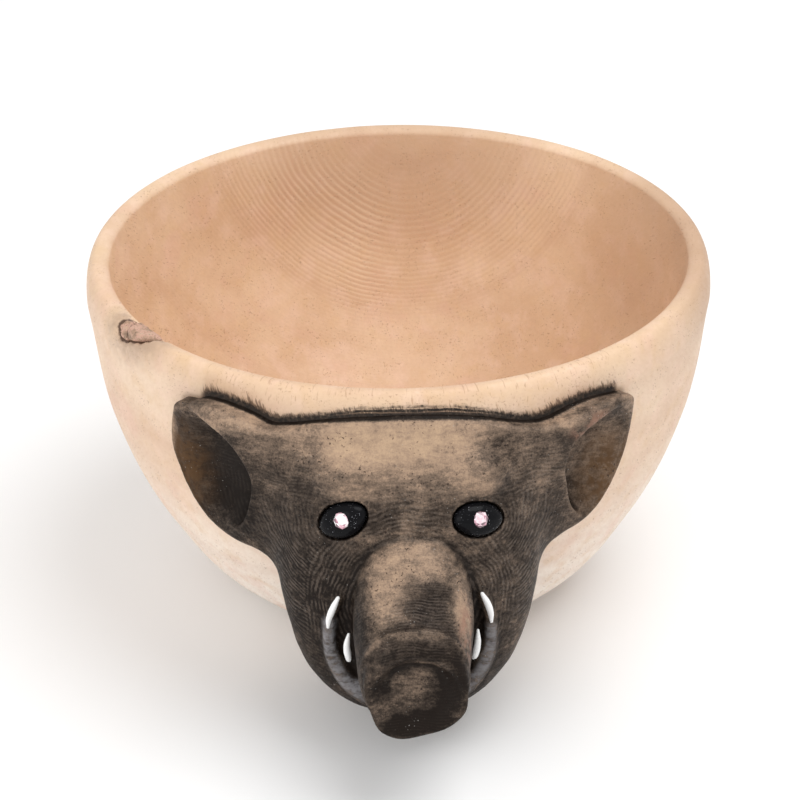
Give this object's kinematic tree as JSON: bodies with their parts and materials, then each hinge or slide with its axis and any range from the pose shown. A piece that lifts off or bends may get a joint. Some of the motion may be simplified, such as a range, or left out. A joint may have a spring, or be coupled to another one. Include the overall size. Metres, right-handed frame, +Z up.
{
  "type": "carved animal head bowl",
  "caption": "Round hand-carved wooden bowl with a scorched warthog head in relief on its front wall, with inset tusks and cut-stone eyes.",
  "frame": {"origin": "centre of the bowl's flat foot, on the surface that it stands on", "axes": "+Z up along the bowl's axis; the warthog's head faces -Y; +X is to the right of a viewer who faces the head"},
  "size_m": [0.15, 0.1848, 0.086],
  "materials": {
    "pale_wood": "sanded and lightly waxed pale pinkish wood",
    "knot_wood": "darker knot with a bark seam, sanded",
    "scorched_wood": "scorched dark brown wood with fine combed gouge lines, waxed",
    "eye_black": "gloss black resin",
    "cut_stone": "faceted pale pink cut glass",
    "tusk_white": "white painted, satin"
  },
  "bodies": {
    "root": {"bowl": "pale_wood", "rim_knot": "knot_wood", "warthog_head": "scorched_wood", "eye_left": "eye_black", "eye_right": "eye_black", "eye_stone_left": "cut_stone", "eye_stone_right": "cut_stone", "upper_tusk_left": "tusk_white", "upper_tusk_right": "tusk_white", "lower_tusk_left": "tusk_white", "lower_tusk_right": "tusk_white"}
  },
  "joints": []
}
